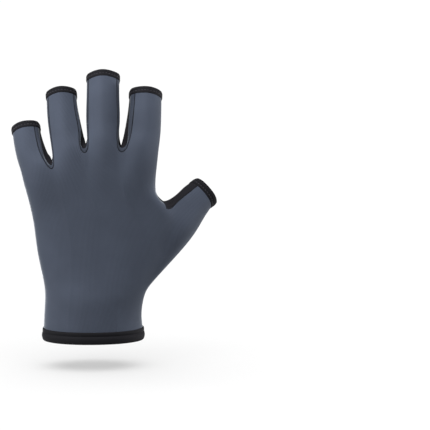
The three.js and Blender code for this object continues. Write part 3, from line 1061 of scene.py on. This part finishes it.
# The sizes of the colour's patches and of the grain are in millimetres.
BLENDS = table(
    "name dark light size roughness gloss grain",
    ("seam thread", (0.012, 0.014, 0.020), (0.028, 0.032, 0.040), 6, 0.75, 0.20, 0.5),
    ("hem thread", (0.040, 0.040, 0.048), (0.080, 0.076, 0.092), 6, 0.6, 0.35, 0.4),
    ("blue silicone", (0.020, 0.050, 0.120), (0.160, 0.310, 0.560), 30, 0.3, 0.4, 1.5),
    ("pale blue silicone", (0.090, 0.190, 0.370), (0.440, 0.600, 0.850), 30, 0.3, 0.4, 1.5),
)
SEAM_THREAD, HEM_THREAD, OUTLINE_SILICONE, PAD_SILICONE = (blend_finish(**row) for row in BLENDS)
print("Threads and silicones:", [row["name"] for row in BLENDS])

# %% [markdown]
# Each piece takes its finish, rides on the imported model's one body and, where the imported model
# holds a plain solid of it, replaces that. Clearing the material slots would set every face back
# to the first one, so the faces' numbers are noted before. Each cloth's area when it lies flat is
# then reckoned and printed.

# %% Dressing the pieces
CAD_NODES = {
    "back_cloth": "back_panel",
    "palm_cloth": "palm_panel",
    "strip_little_ring": "side_strip_little_ring",
    "strip_ring_middle": "side_strip_ring_middle",
    "strip_middle_index": "side_strip_middle_index",
}


def dress(piece, *materials):
    worn = [min(face.material_index, len(materials) - 1) for face in piece.data.polygons]
    piece.data.materials.clear()
    for material in materials:
        piece.data.materials.append(material)
    for face, place in zip(piece.data.polygons, worn):
        face.material_index = place


# The strips between the fingers wear the grey knit darkened as painted shade for the gaps between
# them.
for name, piece in cloths.items():
    knitted = {"back_cloth": GREY_KNIT, "palm_cloth": BLACK_KNIT}.get(name, STRIP_SHADED_KNIT)
    dress(piece, knitted, SEAM_THREAD, LINING)
    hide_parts(CAD_NODES[name])
    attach(piece, "root")
for name, piece in hems.items():
    dress(piece, RIBBED)
    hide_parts(f"{name}_hem")
    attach(piece, "root")
for row in stitches.values():
    dress(row, HEM_THREAD)
    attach(row, "root")
dress(grip, OUTLINE_SILICONE, PAD_SILICONE)
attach(grip, "root")

# %% The cloths' flat sizes
def cloth_area(piece):
    return sum(face.area for face in piece.data.polygons) / 2


# What is left of the worn cloth's area when it isn't stretched.
UNSTRETCHED = 0.92
FLAT_SIZES = {
    "back_cloth": (0.165, 0.20),
    "palm_cloth": (0.215, 0.18),
    "strip_little_ring": (0.01, 0.108),
    "strip_ring_middle": (0.01, 0.118),
    "strip_middle_index": (0.01, 0.122),
}
for name, piece in cloths.items():
    area = UNSTRETCHED * cloth_area(piece)
    print(name, "flat area in square cm", round(area * 1e4, 1))
    width, length = FLAT_SIZES[name]

# %% [markdown]
# The photograph has a white ground with one soft grey patch below the cuff, so the glove floats a
# little above the floor. The floor's paper glows faintly, as if lit from below, and a broad
# ceiling light falls on it alone, so the patch stays pale and soft. The glove itself is lit by a
# dim world and by three lamps that leave the floor out. The one above makes the curled finger ends
# lighter than the hand, and one at each side draws the pale edges.

# %% The floor
FLOOR_SIZE = 30
FLOOR_Z = -0.0195
PAPER_PATCH = 0.4
PAPER_SHADES = ((0.33, 0.33, 0.33), (0.34, 0.34, 0.34))
put_down()
bpy.ops.mesh.primitive_plane_add(size=FLOOR_SIZE, location=(0, 0, FLOOR_Z))
floor = bpy.context.object
floor.name = "floor"
paper, paper_tree, paper_shader = new_finish("white paper", {
    "Roughness": 0.9,
    "Specular IOR Level": 0.0,
    "Emission Color": (1, 1, 1, 1),
    "Emission Strength": 0.55,
})
paper_shade = colour_by(paper_tree, patches(paper_tree, PAPER_PATCH), *PAPER_SHADES)
paper_tree.links.new(paper_shade, paper_shader.inputs["Base Color"])
dress(floor, paper)
floor.visible_diffuse = False
print("Floor", round(-FLOOR_Z / MM, 1), "mm below the cuff's edge")

# %% The dim world
# Its light comes from everywhere at this level, and a little more from where the lean points.
SKY_LEVEL = 0.225
SKY_LEAN = (-0.05, 0.14, 0.01)
DARKEST_SKY = 0.01
world = bpy.data.worlds.new("Studio")
bpy.context.scene.world = world
world.use_nodes = True
sky = world.node_tree
sky.nodes["Background"].inputs["Color"].default_value = (1, 1, 1, 1)
way = sky.nodes.new("ShaderNodeTexCoord")
lean = sky.nodes.new("ShaderNodeVectorMath")
lean.operation = "DOT_PRODUCT"
lean.inputs[1].default_value = SKY_LEAN
sky.links.new(way.outputs["Generated"], lean.inputs[0])
level = reckon(sky, "ADD", lean.outputs["Value"], SKY_LEVEL)
darkest = reckon(sky, "MAXIMUM", level, DARKEST_SKY)
sky.links.new(darkest, sky.nodes["Background"].inputs["Strength"])
print("World:", world.name)

# %% [markdown]
# Light linking says what a lamp falls on. The lamp is the active object and the floor is selected
# with it: the three lamps exclude the floor, and the ceiling light includes nothing else.

# %% The lamps
LAMP_AIM = Vector((0, 0, 0.1))
LAMPS = table(
    "name place size power",
    ("lamp above", (-0.26, -0.60, 1.10), 0.75, 17.0),
    ("lamp at the left", (-1.1, -0.20, 0.16), 0.28, 5.4),
    ("lamp at the right", (1.0, 0.12, 0.02), 0.28, 9.5),
)
CEILING_PLACE = (0, 0, 1.2)
CEILING_POWER = 3.8
CEILING_SPREAD = 85.0


def add_light(kind, name, place, power, on_floor):
    put_down()
    bpy.ops.object.light_add(type=kind, location=place)
    light = bpy.context.object
    light.name = name
    light.data.energy = power
    floor.select_set(True)
    bpy.ops.object.light_linking_receiver_collection_new()
    bpy.ops.object.light_linking_receivers_link(link_state=on_floor)
    return light


for row in LAMPS:
    lamp = add_light("AREA", row["name"], row["place"], row["power"], "EXCLUDE")
    lamp.data.size = row["size"]
    aim = LAMP_AIM - Vector(row["place"])
    lamp.rotation_euler = aim.to_track_quat("-Z", "Y").to_euler()
ceiling = add_light("SUN", "ceiling light", CEILING_PLACE, CEILING_POWER, "INCLUDE")
ceiling.data.angle = math.radians(CEILING_SPREAD)

# %% [markdown]
# The glove stands left of the middle of the photograph, seen from a little above. A long lens is
# turned so that the glove falls on its place in the frame.

# %% Camera
# The picture's width, and the place in it of the point that is aimed at, in pixels.
PICTURE = 430
ACROSS, DOWN = 91.3, 208.5
LENS = 200.0
SENSOR = 36.0
DISTANCE = 1.75
FOCUS = PICTURE * LENS / SENSOR
AIM = Vector((0, 0, 0.097))
TURN = math.atan2(PICTURE / 2 - ACROSS, FOCUS)
TILT = math.radians(8.0)
NOD = TILT + math.atan2(PICTURE / 2 - DOWN, FOCUS)
put_down()
bpy.ops.object.camera_add()
camera = bpy.context.object
camera.data.lens = LENS
camera.location = AIM - Vector((0, math.cos(TILT), -math.sin(TILT))) * DISTANCE
look = Vector((math.sin(TURN) * math.cos(NOD), math.cos(TURN) * math.cos(NOD), -math.sin(NOD)))
camera.rotation_euler = look.to_track_quat("-Z", "Y").to_euler()
bpy.context.scene.camera = camera
bpy.context.scene.view_settings.view_transform = "Standard"
print("Camera", round((camera.location - AIM).length, 2), "m away")

# %% [markdown]
# Last, the scene is brought up to date.

# %% Last update
bpy.context.view_layer.update()
